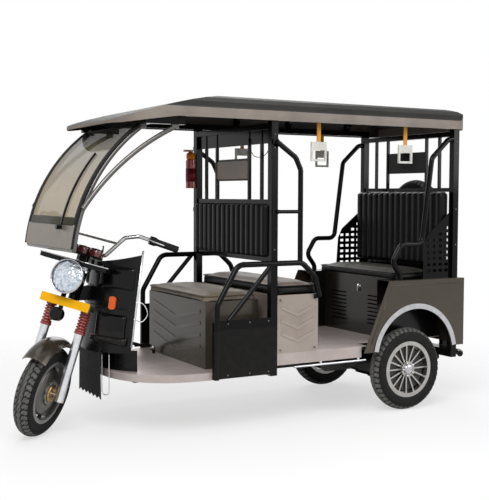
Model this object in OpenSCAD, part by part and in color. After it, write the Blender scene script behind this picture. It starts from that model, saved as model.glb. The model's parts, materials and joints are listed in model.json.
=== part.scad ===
// Electric auto rickshaw: a three-wheeled passenger vehicle, parked with the front wheel turned left.
// Millimetres. X runs forward, Y to the left and Z up. The origin is on the ground under the middle.
// The feature that takes the most skill is the hollow roof with its two-tier edge and sloping visor.

/* [Wheels] */
// outer radius of every tyre
tyre_r = 240; // [225:255]
// width of every tyre
tyre_w = 92; // [80:100]
// radius of the rounded tread across the tyre
crown_r = 50; // [48:60]
// radius of the rim's bead seat
rim_r = 152; // [140:160]
// distance from the middle plane to a rear tyre's middle
half_track = 419; // [400:425]
// distance between the rear axle and the front axle
wheelbase = 2052; // [2030:2075]
// number of spokes in a rear wheel
spoke_count = 16; // [8:18]

/* [Steering] */
// lean of the steering axis from upright
rake = 18.2; // [16:20]
// how far the front axle sits ahead of the steering axis
fork_offset = 26; // [20:32]
// angle at which the parked wheel is turned left, which is also the lock
parked = 45; // [30:45]
// distance from the middle to a fork leg
fork_half = 100; // [96:104]
// radius of the round headlamp
lamp_r = 88; // [70:92]
// half of the handlebar's width
bar_half = 410; // [380:415]

/* [Body] */
// distance from the middle plane to the roof's edge
roof_half = 490; // [486:494]
// height of the roof's crown
roof_top = 1780; // [1770:1795]
// height of the roof from its lower edge to its crown
roof_edge = 140; // [130:150]
// thickness of the moulded roof
roof_wall = 5; // [4:8]
// height of the driver's floor
foot_z = 335; // [330:340]
// height of the passengers' floor
floor_z = 400; // [395:405]
// thickness of sheet panels
sheet = 4; // [3:5]
// width of the square posts
post = 40; // [34:44]
// radius of the rails and poles
tube_r = 15; // [13:15]
// distance from the rear axle back to the bumper's outer face
rear_reach = 465; // [460:475]
// number of ribs in each backrest
rib_count = 15; // [9:19]
// gap left around moving pieces
run_gap = 0.6; // [0.4:0.1:1.2]

/* [Hidden] */
$fn = 48;
camber = asin(sin(parked) * sin(rake));
head_x = wheelbase - fork_offset * cos(rake);
head_z = (tyre_r - crown_r) * cos(camber) + crown_r - fork_offset * cos(parked) * sin(rake);
nose_turn = sin(parked) * cos(rake);
nose_x = head_x + fork_offset * cos(parked) * cos(rake)
    + (tyre_r - crown_r) * sqrt(1 - nose_turn * nose_turn) + crown_r;
mid_x = (nose_x - rear_reach) / 2;
// rails below the floors
rail_y = 260;
rail_z0 = 285;
rail_z1 = 330;
// side planes, from the middle outwards
post_y = 440;
side_y = post_y + post / 2;
tube_y = side_y + tube_r;
body_y = 482;
// partitions
front_part_x = 920;
rear_part_x = -340;
roof_lip = roof_top - roof_edge;
beam_z = roof_lip - 40;
eave_z = roof_lip + 5;
spare_z = beam_z - 490;
// driver seat box
seat_x0 = 960;
seat_x1 = 1280;
seat_half = 360;
seat_z = 690;
// middle seat box
mid_x0 = 637;
mid_x1 = front_part_x - post / 2;
mid_z = 715;
// rear bench
bench_x0 = -300;
bench_x1 = 40;
bench_half = 345;
bench_z = 762;
// rear body
tail_x = -395;
ledge_z = 762;
arch_x = -30;
arch_z = 320;
arch_r = 276;
// windscreen curve, whose pillars end under the roof
screen_r = 884;
screen_half = 378;
pillar_r = 12;
pillar_top = 54;
screen_cx = 1642.5 - (screen_r - pillar_r) * cos(pillar_top);
screen_cz = beam_z - 10.5 - (screen_r - pillar_r) * sin(pillar_top);
// the struts behind the screen
strut_x = 970;
strut_top = 1495;
strut_lean = 5.4;
strut_z = beam_z - 1089;
strut_r = 1197;
brace_z = beam_z - 415;
pillar_y = screen_half - pillar_r - 1;

// A unit vector.
function unit(v) = v / norm(v);

// Puts pieces given from the rear axle into the part's own frame.
module car() translate([-mid_x, 0, 0]) children();

// The parked steering's frame: X ahead of the steering axis, Z up along it, front axle at fork_offset.
module steered() car() translate([head_x, 0, head_z]) rotate([0, -rake, 0]) rotate([0, 0, parked]) children();

// A copy on each side.
module both() {
    children();
    mirror([0, 1, 0]) children();
}

// A box from one corner to the other.
module box(a, b) translate(a) cube(b - a);

// A side view in X and Z, given thickness along Y from y0 to y1.
module side_plate(y0, y1) translate([0, y1, 0]) rotate([90, 0, 0]) linear_extrude(y1 - y0) children();

// A front view in Y and Z, given thickness along X from x0 to x1.
module front_plate(x0, x1)
    translate([x0, 0, 0]) rotate([90, 0, 90]) linear_extrude(x1 - x0) children();

// A round bar between two points.
module rod(a, b, r) {
    v = b - a;
    translate(a) rotate([0, acos(v[2] / norm(v)), atan2(v[1], v[0])]) cylinder(h = norm(v), r = r, $fn = 24);
}

// Half of the turn at a bend.
function half_turn(a, p, b) = (180 - acos(unit(a - p) * unit(b - p))) / 2;

// How far from the corner a bend begins.
function set_back(a, p, b, bend) = bend * tan(half_turn(a, p, b));

// A round tube through points, with a true bend at each inner point.
module bent_tube(pts, r, bend) {
    last = len(pts) - 1;
    for (i = [0:last - 1]) {
        dir = unit(pts[i + 1] - pts[i]);
        from = i == 0 ? 0 : set_back(pts[i - 1], pts[i], pts[i + 1], bend) + 1;
        to = i == last - 1 ? 0 : set_back(pts[i], pts[i + 1], pts[i + 2], bend) + 1;
        rod(pts[i] + dir * from, pts[i + 1] - dir * to, r);
    }
    for (i = [1:last - 1]) {
        a = unit(pts[i - 1] - pts[i]);
        b = unit(pts[i + 1] - pts[i]);
        turn = half_turn(pts[i - 1], pts[i], pts[i + 1]);
        middle = pts[i] + unit(a + b) * bend / cos(turn);
        e1 = unit(pts[i] + a * bend * tan(turn) - middle);
        e3 = unit(cross(e1, pts[i] + b * bend * tan(turn) - middle));
        e2 = cross(e3, e1);
        multmatrix([[e1[0], e2[0], e3[0], middle[0]], [e1[1], e2[1], e3[1], middle[1]],
            [e1[2], e2[2], e3[2], middle[2]]])
            rotate_extrude(angle = 2 * turn, $fn = 48) translate([bend, 0]) circle(r, $fn = 24);
        // a thin sleeve joins each end of the bend to its straight
        for (d = [a, b])
            rod(pts[i] + d * (bend * tan(turn) - 3), pts[i] + d * (bend * tan(turn) + 4), r + 0.6);
    }
}

// A tube in a side plane.
module side_tube(y, xz, r, bend) bent_tube([for (p = xz) [p[0], y, p[1]]], r, bend);

// A flat ring sector in a side view, between two radii and two angles.
module ring_part(cx, cz, r0, r1, a0, a1) translate([cx, cz]) intersection() {
    difference() {
        circle(r1, $fn = 180);
        circle(r0, $fn = 180);
    }
    polygon([[0, 0], for (i = [0:4]) 2 * r1 * [cos(a0 + (a1 - a0) * i / 4), sin(a0 + (a1 - a0) * i / 4)]]);
}

// The ladder frame, its outriggers, the steering post and the head tube.
module chassis_frame() color("#1c1c1e") car() {
    both() box([tail_x - 20, rail_y - 20, rail_z0], [1650, rail_y + 20, rail_z1]);
    for (x = [tail_x - 5, -150, 350, 620, 1270, 1610])
        box([x, -rail_y, rail_z0], [x + 40, rail_y, rail_z1]);
    box([1645, -25, rail_z0], [1705, 25, rail_z1]);
    for (x = [rear_part_x, front_part_x])
        box([x - post / 2, -side_y, rail_z0], [x + post / 2, side_y, rail_z1]);
    for (x = [80, 350, 600])
        box([x, -rail_y - 20, rail_z1], [x + 30, rail_y + 20, floor_z - sheet]);
    both() for (x = [-360, 360])
        box([x - 20, rail_y + 20, rail_z0], [x + 20, rail_y + 75, rail_z1]);
    // steering post, neck and head tube
    box([1655, -25, rail_z1 - 5], [1705, 25, 775]);
    difference() {
        union() {
            box([1700, -20, 695], [1850, 20, 770]);
            translate([head_x, 0, head_z]) rotate([0, -rake, 0])
                translate([0, 0, 495]) cylinder(h = 150, r = 30);
        }
        translate([head_x, 0, head_z]) rotate([0, -rake, 0])
            translate([0, 0, 490]) cylinder(h = 160, r = 16 + run_gap);
    }
}

// Half-width of the driver's floor, which closes in a round nose.
function nose_y(x) = x < 1300 ? side_y - sheet
    : (side_y - sheet) * pow(1 - pow((x - 1300) / 435, 2.4), 1 / 2.4);

// The driver's floor in plan, moved inwards by a margin.
module foot_plan(m) {
    xs = concat([front_part_x + post / 2 + m, 1300], [for (i = [1:24]) 1300 + (435 - m) * sin(i * 3.75)]);
    left = [for (x = xs) [x, max(0, nose_y(x) - m)]];
    polygon(concat(left, [for (i = [len(left) - 2:-1:0]) [left[i][0], -left[i][1]]]));
}

// The driver's floor, a pan with a turned-down edge.
module floor_front() color("#b7aaa6") car() difference() {
    translate([0, 0, rail_z1 - 35]) linear_extrude(foot_z - rail_z1 + 35) foot_plan(0);
    translate([0, 0, rail_z1 - 36]) linear_extrude(36) foot_plan(3);
    box([front_part_x + post / 2 - 1, 3 + sheet - side_y, rail_z1 - 36],
        [front_part_x + post / 2 + 50, side_y - sheet - 3, rail_z1]);
    box([1655, -25, rail_z1 - 1], [1705, 25, foot_z + 1]);
}

// The passengers' floor, its sills and the flat under the bench.
module floor_rear() color("#b7aaa6") car() {
    translate([0, 0, floor_z - sheet]) linear_extrude(sheet)
        polygon([[300, side_y - sheet], [mid_x1, side_y - sheet], [mid_x1, sheet - side_y],
            [300, sheet - side_y], [300, -bench_half], [rear_part_x + post / 2, -bench_half],
            [rear_part_x + post / 2, bench_half], [300, bench_half]]);
    both() box([340, side_y - sheet - 3, floor_z - 62], [mid_x1, side_y - sheet, floor_z]);
}

// The shield ahead of the driver's legs, bulging forward, with the slot for the neck.
module leg_shield() color("#161618") car() {
    difference() {
        translate([1462, 0, 500]) rotate([0, -7.7, 0])
            translate([0, 0, -150]) linear_extrude(630) plan_arc(343, 55);
        box([1300, -400, 360], [1900, 400, 438]);
        translate([1747, 0, 902]) rotate([0, 15, 0]) translate([-400, -400, 0]) cube([600, 800, 200]);
        box([1690, -28, 686], [1850, 28, 779]);
    }
    translate([1387, 0, foot_z]) linear_extrude(110) plan_arc(343, 47);
    translate([1387, 0, 436]) linear_extrude(9) difference() {
        intersection() {
            translate([86, 0]) circle(341, $fn = 120);
            translate([0, -236]) square([500, 472]);
        }
        circle(340, $fn = 120);
    }
}

// A curved strip in plan, bulging towards +X.
module plan_arc(r, half) intersection() {
    difference() {
        circle(r, $fn = 120);
        circle(r - sheet, $fn = 120);
    }
    polygon([[0, 0], [900 * cos(half), -900 * sin(half)], [900, 0], [900 * cos(half), 900 * sin(half)]]);
}

// Orange reflectors on the shield's shoulders.
module front_reflectors() color("#d8591f") car() both()
    translate([1462, 0, 500]) rotate([0, -7.7, 0]) rotate([0, 0, 33]) translate([343, 0, 155])
        rotate([0, 90, 0]) linear_extrude(10) intersection() {
            circle(34);
            square([68, 40], center = true);
        }

// The rubber flap between the front wheel and the floor.
module mudflap() color("#17171a") car() front_plate(1783, 1788) polygon(concat([[-150, 436], [150, 436]],
    [for (i = [0:12]) [160 - i * 320 / 12, i % 2 == 0 ? 190 : 206]]));

// The driver's seat box with pressed chevrons on its front.
module driver_seat_box() color("#a89a90") car() {
    difference() {
        box([seat_x0, -seat_half, foot_z], [seat_x1, seat_half, seat_z]);
        box([seat_x0 + sheet, sheet - seat_half, foot_z - 1],
            [seat_x1 - sheet, seat_half - sheet, seat_z + 1]);
    }
    for (i = [0:3])
        front_plate(seat_x1, seat_x1 + 3) translate([0, 380 + i * 62]) polygon([[-300, 60], [0, 0], [300, 60],
            [300, 78], [0, 18], [-300, 78]]);
}

// The driver's seat, a padded lid hinged along its rear edge.
module driver_seat() color("#8d8179") car() difference() {
    box([seat_x0, -seat_half - 6, seat_z + 0.5], [seat_x1 + 12, seat_half + 6, 738]);
    box([seat_x0 - 1, -seat_half - 7, seat_z], [seat_x0 + 8, seat_half + 7, seat_z + 8]);
}

// Black sheet beside the driver's seat.
module side_guards() color("#141416") car() both() difference() {
    side_plate(side_y - sheet, side_y) polygon([[front_part_x + post / 2, 297], [1290, 297],
        [1290, 590], [1270, 600], [front_part_x + post / 2, 600]]);
    side_plate(side_y - 1, side_y + 1) polygon([[975, 330], [1235, 330], [1235, 565], [975, 565]]);
}

// Rails over the guards, with their braces, the grab poles and the saddles that hold them to the posts.
module side_rails() color("#101012") car() both() {
    side_tube(tube_y, [[1275, 297], [1272, 680], [1150, 888], [755, 888], [672, 812], [640, 700]],
        tube_r, 60);
    rod([1205, tube_y, 600], [948, tube_y, 880], 13);
    side_tube(tube_y, [[920, 1532], [800, 1450], [768, 1385], [768, 888]], 14, 40);
    rod([768, tube_y, 1162], [920, tube_y, 1162], 10);
    for (z = [888, 1162, 1532])
        box([front_part_x - 16, side_y, z - 12], [front_part_x + 16, tube_y, z + 12]);
    box([1262, side_y, 310], [1288, tube_y, 330]);
    box([645, side_y - sheet, 690], [665, tube_y, 712]);
}

// The box under the middle seat, pressed with chevrons on its sides.
module mid_seat_box() color("#b3a6a1") car() {
    difference() {
        box([mid_x0, sheet - side_y, floor_z], [mid_x1, side_y - sheet, mid_z]);
        box([mid_x0 + sheet, 2 * sheet - side_y, floor_z - 1],
            [mid_x1 - sheet, side_y - 2 * sheet, mid_z + 1]);
    }
    both() for (i = [0:2])
        side_plate(side_y - sheet, side_y - 1) translate([770, 455 + i * 70])
            polygon([[-105, 45], [0, 0], [105, 45], [105, 60], [0, 15], [-105, 60]]);
}

// The batteries, one plain block inside the middle seat box.
module battery_pack() color("#26272b") car() box([665, -400, floor_z], [880, 400, 640]);

// The middle seat, facing the rear, hinged along its front edge.
module mid_seat() color("#9c8168") car() difference() {
    box([mid_x0 - 14, 10 - side_y, mid_z + 0.5], [mid_x1 - 2, side_y - 10, 785]);
    box([mid_x1 - 10, -side_y, mid_z], [mid_x1, side_y, mid_z + 8]);
}

// Posts, beam, bars and a plate that part the driver from the passengers or close the rear.
module partition(x, bar_ys, plate_z, rail_z, foot) {
    both() box([x - post / 2, post_y - post / 2, foot], [x + post / 2, side_y, eave_z + 30]);
    box([x - post / 2, post / 2 - post_y, beam_z], [x + post / 2, post_y - post / 2, beam_z + 30]);
    for (z = rail_z) box([x - 12, post / 2 - post_y, z - 12], [x + 12, post_y - post / 2, z + 12]);
    for (y = bar_ys) both() box([x - 8, y - 8, rail_z[1]], [x + 8, y + 8, beam_z]);
    box([x - 3, -bar_ys[1], plate_z[0]], [x + 3, bar_ys[1], plate_z[1]]);
}

// The partition behind the driver.
module front_partition() color("#121214") car() {
    partition(front_part_x, [325, 190], [beam_z - 270, beam_z - 147], [905, beam_z - 385], rail_z1);
    // header board
    box([front_part_x - 3, post / 2 - post_y, beam_z - 75], [front_part_x + 3, post_y - post / 2, beam_z]);
}

// The frame behind the rear bench.
module rear_partition() color("#121214") car() {
    partition(rear_part_x, [310, 190], [beam_z - 210, beam_z - 80], [780, beam_z - 315], rail_z1);
    both() box([rear_part_x - 8, 120, 780], [rear_part_x + 18, 150, beam_z - 315]);
    box([rear_part_x - 30, -150, spare_z - 20], [rear_part_x - 8, 150, spare_z + 20]);
    // board behind the seat
    box([rear_part_x - 3, post / 2 - post_y, 780], [rear_part_x + 3, post_y - post / 2, 860]);
}

// A ribbed backrest board between two heights, padded with upright ribs.
module ribbed_back(x0, x1, half, z0, z1) {
    box([x0, -half, z0], [x1, half, z1]);
    pitch = 2 * half / rib_count;
    for (i = [0:rib_count - 1])
        translate([0, -half + (i + 0.5) * pitch, 0]) for (x = [x0, x1])
            translate([x, 0, z0 + 8]) intersection() {
                cylinder(h = z1 - z0 - 16, r = pitch / 2 - 2, $fn = 24);
                translate([-14, -50, 0]) cube([28, 100, 900]);
            }
}

// The driver's backrest, which the middle row leans on as well.
module front_backrest() color("#1b1b1d") car() difference() {
    ribbed_back(front_part_x - 26, front_part_x + 26, post_y - post / 2, 917, beam_z - 397);
    for (z = [905, beam_z - 385])
        box([front_part_x - 12, -post_y, z - 12], [front_part_x + 12, post_y, z + 12]);
}

// The rear backrest, in front of the rear frame.
module rear_backrest() color("#1b1b1d") car()
    ribbed_back(rear_part_x + 32, rear_part_x + 70, post_y - post / 2, 830, beam_z - 328);

// The bench box with louvres pressed through its front.
module rear_bench_box() color("#a4968f") car() difference() {
    box([bench_x0, -bench_half, floor_z], [bench_x1, bench_half, bench_z]);
    box([bench_x0 + sheet, sheet - bench_half, floor_z - 1],
        [bench_x1 - sheet, bench_half - sheet, bench_z + 1]);
    for (y = [-190, 190], i = [0:7])
        box([bench_x1 - 10, y - 80, 470 + i * 24], [bench_x1 + 1, y + 80, 478 + i * 24]);
}

// The rear seat, a padded lid hinged along its rear edge.
module rear_seat() color("#a58a70") car()
    box([-250, -405, bench_z + 0.5], [bench_x1 + 18, 405, 820]);

// Perforated sheets between the rear posts and the arm tubes.
module side_screens() color("#131315") car() both() difference() {
    side_plate(post_y - 2, post_y + 2) polygon([[rear_part_x + post / 2, ledge_z], [-110, ledge_z],
        [-125, 970], [-156, 1031], [rear_part_x + post / 2, 1160]]);
    side_plate(post_y - 5, post_y + 5) for (ix = [0:3], iz = [0:8])
        if (iz < 8 - ix || iz < 6) translate([-300 + ix * 44, 800 + iz * 36]) square([26, 16]);
}

// Arm tubes from the rear posts down to the body.
module arm_tubes() color("#101012") car() both()
    side_tube(post_y + 6, [[rear_part_x + post / 2, beam_z - 16], [-290, beam_z - 16], [-163, beam_z - 132],
        [-96, 968], [55, 968], [118, 866], [60, ledge_z + 28], [60, ledge_z]], tube_r, 45);

// Rear body sides with their wheel arches, ledges and inner lips.
module rear_body() color("#6b6355") car() both() {
    side_plate(body_y - sheet, body_y) difference() {
        polygon([[tail_x, 362], [340, 362], [324, 400], [165, ledge_z], [tail_x, ledge_z]]);
        translate([arch_x, arch_z]) circle(arch_r, $fn = 180);
    }
    difference() {
        box([tail_x + sheet, bench_half, ledge_z - sheet], [150, body_y - sheet, ledge_z]);
        box([rear_part_x - post / 2, post_y - post / 2, 700], [rear_part_x + post / 2, side_y, 800]);
        box([tail_x, bench_half - 1, 700], [rear_part_x + post / 2 + 1, post_y - post / 2, 800]);
    }
    box([bench_x0, bench_half, floor_z], [150, bench_half + 3, ledge_z - 1]);
}

// Bright trims around the rear arches.
module arch_trims() color("#d8d8d6") car() both()
    side_plate(body_y, body_y + 7) ring_part(arch_x, arch_z, arch_r, arch_r + 30, 9, 171);

// The sheet that closes the tail.
module tail_panel() color("#6b6355") car() difference() {
    box([tail_x, sheet - body_y, 362], [tail_x + sheet, body_y - sheet, ledge_z]);
    for (y = [-90, 90]) translate([tail_x - 1, y, 640]) rotate([0, 90, 0]) cylinder(h = 10, r = 4.5);
}

// Tail lamps on the tail.
module tail_lamps() color("#a81c1c") car() both() difference() {
    box([tail_x - 24, 330, 560], [tail_x, 440, 640]);
    box([tail_x - 25, 383, 555], [tail_x - 18, 387, 645]);
}

// The double rear bumper with its brackets and the towing eye.
module rear_bumper() color("#151517") car() {
    for (z = [297, 386])
        bent_tube([[tail_x - 14, -440, z], [18 - rear_reach, -400, z], [18 - rear_reach, 400, z],
            [tail_x - 14, 440, z]], 18, 40);
    both() box([8 - rear_reach, rail_y - 16, 300], [tail_x - 20, rail_y + 16, 384]);
    difference() {
        box([-rear_reach, -8, 300], [tail_x - 20, 8, 384]);
        translate([24 - rear_reach, 9, 341]) rotate([90, 0, 0]) cylinder(h = 18, r = 11);
    }
}

// A tyre's section, from bead to bead, turned about the axle along Y.
module tyre_shape() rotate([90, 0, 0]) rotate_extrude($fn = 96) difference() {
    intersection() {
        translate([tyre_r - crown_r, 0]) circle(crown_r, $fn = 72);
        translate([rim_r, -tyre_w / 2]) square([tyre_r, tyre_w]);
    }
    translate([rim_r + 25, 0]) circle(tyre_w / 2 - 22, $fn = 48);
    translate([rim_r - 20, -16]) square([40, 32]);
    // room for the rim's flanges
    for (w = [-tyre_w / 2, tyre_w / 2 - 10]) translate([rim_r - 1, w]) square([13, 10]);
}

// A rim: barrel with flanges, hub and spokes.
module rim_shape(spokes, spoke_w, hub_r, hub_w) rotate([90, 0, 0]) {
    rotate_extrude($fn = 96) difference() {
        translate([rim_r - 12, -tyre_w / 2 + 6]) square([24, tyre_w - 12]);
        translate([rim_r, 4 - tyre_w / 2 + 6]) square([30, tyre_w - 20]);
        translate([rim_r - 30, 5 - tyre_w / 2 - 20]) square([22, tyre_w - 22]);
    }
    difference() {
        union() {
            translate([0, 0, -hub_w / 2]) cylinder(h = hub_w, r = hub_r);
            for (i = [0:spokes - 1]) rotate([0, 0, i * 360 / spokes])
                translate([hub_r - 4, -spoke_w / 2, 8]) cube([rim_r - hub_r, spoke_w, 12]);
        }
        translate([0, 0, -hub_w]) cylinder(h = 2 * hub_w, r = 10 + run_gap);
    }
}

// Each rear wheel, shown on its own side.
module left_tyre() color("#1a1a1b") car() translate([0, half_track, tyre_r]) tyre_shape();
module right_tyre() color("#1a1a1b") car() translate([0, -half_track, tyre_r]) tyre_shape();
module left_rim() color("#c9cacb") car() translate([0, half_track, tyre_r]) rotate([0, 0, 180])
    rim_shape(spoke_count, 9, 46, 70);
module right_rim() color("#c9cacb") car() translate([0, -half_track, tyre_r])
    rim_shape(spoke_count, 9, 46, 70);

// The spare wheel on the rear frame.
module spare_tyre() color("#1a1a1b") car()
    translate([rear_part_x - 30 - tyre_w / 2, 0, spare_z]) rotate([0, 0, 90]) tyre_shape();
module spare_rim() color("#8e8f90") car()
    translate([rear_part_x - 30 - tyre_w / 2, 0, spare_z]) rotate([0, 0, 90])
    rim_shape(spoke_count, 9, 46, tyre_w);

// Height of the roof's top along the car.
function roof_fall(x) = x < 1000 ? 0 : 160 * pow((x - 1000) / 800, 1.7);

// Where a circle about the screen's middle stands at a height.
function on_screen(r, z) = screen_cx + sqrt(r * r - (z - screen_cz) * (z - screen_cz));

// The roof's side view, moved inwards by a margin.
module roof_side(m) polygon(concat([[-420 + m, roof_lip - m * 4], [-420 + m, roof_lip + 50],
    [-405 + m, roof_top - 50],
    [-370 + m * 0.7, roof_top - 22 - m], [-300, roof_top - 10 - m], [-100, roof_top - 3 - m]],
    [for (x = [100:100:1700]) [x, roof_top - m - roof_fall(x)]],
    [[1760, roof_top - m - roof_fall(1760)], [1800 - m, roof_top - 162 - m], [1800 - m, roof_lip - 36 - m * 4],
    [1755, roof_lip - 36 - m * 4], [1500, roof_lip - m * 4]]));

// The roof's cross-section, moved inwards by a margin.
module roof_section(m) {
    rise = [[0, -1], [0, 0.157], [4, 0.357], [14, 0.407], [34, 0.6], [70, 0.771], [130, 0.886], [240, 0.957],
        [roof_half, 1]];
    pts = [for (p = rise) [max(0, roof_half - p[0] - m), roof_lip + p[1] * roof_edge - (p[1] > 0 ? m : 0)]];
    polygon(concat(pts, [for (i = [len(pts) - 2:-1:0]) [-pts[i][0], pts[i][1]]]));
}

// The roof's plan with rounded corners, moved inwards by a margin.
module roof_plan(m) {
    intersection() {
        translate([-420 + m, -roof_half]) square([2220 - 2 * m, 2 * roof_half]);
        union() {
            for (c = [[-420 + 110, roof_half - 110, 110], [1800 - 230, roof_half - 230, 230]], s = [-1, 1])
                translate([c[0], s * c[1]]) circle(c[2] - m, $fn = 96);
            translate([-420 + 110, m - roof_half]) square([2220 - 340, 2 * (roof_half - m)]);
            translate([-420 + m, 110 - roof_half]) square([300, 2 * (roof_half - 110)]);
            translate([1400, 230 - roof_half]) square([400 - m, 2 * (roof_half - 230)]);
        }
    }
}

// A solid in the roof's outer form, moved inwards by a margin.
module roof_form(m) intersection() {
    side_plate(-roof_half - 100, roof_half + 100) roof_side(m);
    front_plate(-500, 1900) roof_section(m);
    translate([0, 0, roof_lip - 190]) linear_extrude(500) roof_plan(m);
}

// The moulded roof, hollow and open below.
module roof() color("#5c5a58") car() difference() {
    roof_form(0);
    roof_form(roof_wall);
}

// Tubes that carry the roof, with bows up to its inner skin.
module roof_frame() color("#141416") car() {
    both() {
        box([rear_part_x + post / 2, post_y - 15, eave_z], [mid_x1, post_y + 15, eave_z + 30]);
        box([front_part_x + post / 2, post_y - 15, eave_z], [1470, post_y + 15, eave_z + 30]);
        // a step down to the visor
        box([1440, post_y - 15, beam_z], [1470, post_y + 15, eave_z + 5]);
        box([1440, post_y - 15, beam_z], [1660, post_y + 15, beam_z + 30]);
    }
    box([1612, 15 - post_y, beam_z], [1642, post_y - 15, beam_z + 30]);
    for (x = [-200, 260, 640])
        intersection() {
            box([x, -post_y, beam_z + 5], [x + 30, post_y, roof_top]);
            difference() {
                roof_form(roof_wall);
                roof_form(roof_wall + 25);
            }
        }
    for (x = [-200, 260, 640]) both() intersection() {
        box([x, post_y - 15, eave_z + 29], [x + 30, post_y + 10, roof_top]);
        roof_form(roof_wall);
    }
}

// Curved pillars beside the screen, struts behind them and the tube under the panel.
module screen_frame() color("#55524f") car() {
    both() {
        translate([screen_cx, pillar_y, screen_cz]) rotate([90, 0, 0]) rotate([0, 0, 6])
            rotate_extrude(angle = pillar_top - 6, $fn = 96)
                translate([screen_r - pillar_r, 0]) circle(pillar_r, $fn = 24);
        translate([strut_top, post_y, strut_z]) rotate([0, 0, -strut_lean])
            translate([strut_x - strut_top, 0, 0]) rotate([90, 0, 0]) rotate([0, 0, 34])
                rotate_extrude(angle = 30, $fn = 96) translate([strut_r, 0]) circle(pillar_r, $fn = 24);
        // feet that meet the roof's tubes
        box([1618, pillar_y - 9, beam_z - 20], [1652, pillar_y + 9, beam_z]);
        box([1475, post_y - 9, beam_z - 22], [1512, post_y + 9, beam_z]);
        foot = strut_x + 991 - strut_top;
        rod([on_screen(screen_r - pillar_r, brace_z), pillar_y, brace_z],
            [strut_top + foot * cos(strut_lean) - 5, post_y - foot * sin(strut_lean), brace_z], 9);
    }
    low = (screen_r - pillar_r) * [cos(6.1), sin(6.1)];
    translate([screen_cx + low[0], 0, screen_cz + low[1]]) rod([0, -pillar_y, 0], [0, pillar_y, 0], 11);
}

// The clear screen.
module windscreen() color("#cfc4b2") car()
    side_plate(-screen_half, screen_half) ring_part(screen_cx, screen_cz, screen_r, screen_r + 5, 14, 53.4);

// The opaque panel below the screen, with cut corners.
module screen_panel() color("#87796f") car() intersection() {
    side_plate(-screen_half, screen_half) ring_part(screen_cx, screen_cz, screen_r, screen_r + 6, 6.4, 14);
    front_plate(1800, 2200) translate([0, screen_cz]) polygon([[45 - screen_half, 76], [screen_half - 45, 76],
        [screen_half, 126], [screen_half, 316], [-screen_half, 316], [-screen_half, 126]]);
}

// The wiper on the outside of the screen.
module wiper() color("#0e0e0f") car() {
    side_plate(176, 186) ring_part(screen_cx, screen_cz, screen_r + 5, screen_r + 15, 14.1, 40);
    hub = (screen_r + 5) * sin(13.4);
    translate([on_screen(screen_r + 5, screen_cz + hub - 14) + 1.5, 181, screen_cz + hub])
        rotate([0, 90, 0]) cylinder(h = 26, r = 14);
}

// Straps with square hand grips, one to each seat's side.
module grab_straps() color("#e8c13a") car() for (x = [620, 20]) both() {
    box([x - 12, post_y - 18, beam_z - 62], [x + 12, post_y - 12, eave_z]);
    difference() {
        box([x - 50, post_y - 20, beam_z - 165], [x + 50, post_y - 10, beam_z - 60]);
        box([x - 38, post_y - 21, beam_z - 153], [x + 38, post_y - 9, beam_z - 105]);
    }
}

// The fire extinguisher on the front of the right post.
module fire_extinguisher() color("#b3221d") car()
    translate([front_part_x + post / 2 + 30, -post_y, beam_z - 310]) {
    cylinder(h = 170, r = 30);
    translate([0, 0, 170]) cylinder(h = 22, r = 18);
    translate([0, 0, 192]) cylinder(h = 40, r = 12);
    translate([-14, -7, 220]) cube([60, 14, 12]);
}

// The rear axle with its differential and brake drums.
module rear_axle() color("#2b2c2f") car() translate([0, 0, tyre_r]) {
    rotate([90, 0, 0]) cylinder(h = 720, r = 28, center = true);
    rotate([90, 0, 0]) cylinder(h = 110, r = 85, center = true);
    both() translate([0, 345, 0]) rotate([90, 0, 0]) cylinder(h = 25, r = 80, center = true);
    both() translate([0, 350, 0]) rotate([-90, 0, 0]) cylinder(h = 117, r = 10);
    both() difference() {
        box([-40, 276, -50], [40, 324, -20]);
        translate([0, 300, 955 - tyre_r]) rotate([90, 0, 0]) difference() {
            cylinder(h = 80, r = 1000, center = true, $fn = 180);
            cylinder(h = 90, r = 760, center = true, $fn = 180);
        }
    }
}

// The drive motor, one plain block ahead of the axle.
module motor() color("#34363a") car() translate([85, 0, tyre_r]) rotate([0, 90, 0]) cylinder(h = 190, r = 62);

// Leaf springs below the axle, three leaves a side.
module leaf_springs() color("#232325") car() both() {
    for (i = [0:2])
        side_plate(280, 320) ring_part(0, 955, 760 + 8 * i, 768 + 8 * i, 270 - 26 + 7 * i, 270 + 26 - 7 * i);
    for (x = [-337, 337]) translate([x, 320, 266]) rotate([90, 0, 0]) cylinder(h = 40, r = 15);
    for (x = [-352, 332]) box([x, 282, 266], [x + 20, 318, rail_z0]);
}

// Bright rods under the sills with their hangers.
module step_rods() color("#c2c3c4") car() both() {
    rod([300, post_y, 318], [780, post_y, 318], 6);
    for (x = [345, 600]) box([x, post_y - 4, 318], [x + 14, post_y + 4, floor_z - sheet]);
}

// The fork: sliders, upper tubes, crown, stem, top clamp and the front axle.
module fork() color("#b9babc") steered() {
    for (s = [-1, 1]) {
        translate([fork_offset, s * fork_half, -30]) cylinder(h = 360, r = 24);
        translate([fork_offset, s * fork_half, 330]) cylinder(h = 130, r = 15);
    }
    box([fork_offset - 32, -fork_half - 30, 455], [fork_offset + 32, fork_half + 30, 485]);
    box([-24, -40, 455], [fork_offset, 40, 485]);
    translate([0, 0, 470]) cylinder(h = 213, r = 16);
    translate([0, 0, 655]) cylinder(h = 28, r = 44);
    rotate([90, 0, 0]) translate([fork_offset, 0, 0]) cylinder(h = 2 * fork_half, r = 10, center = true);
}

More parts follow.
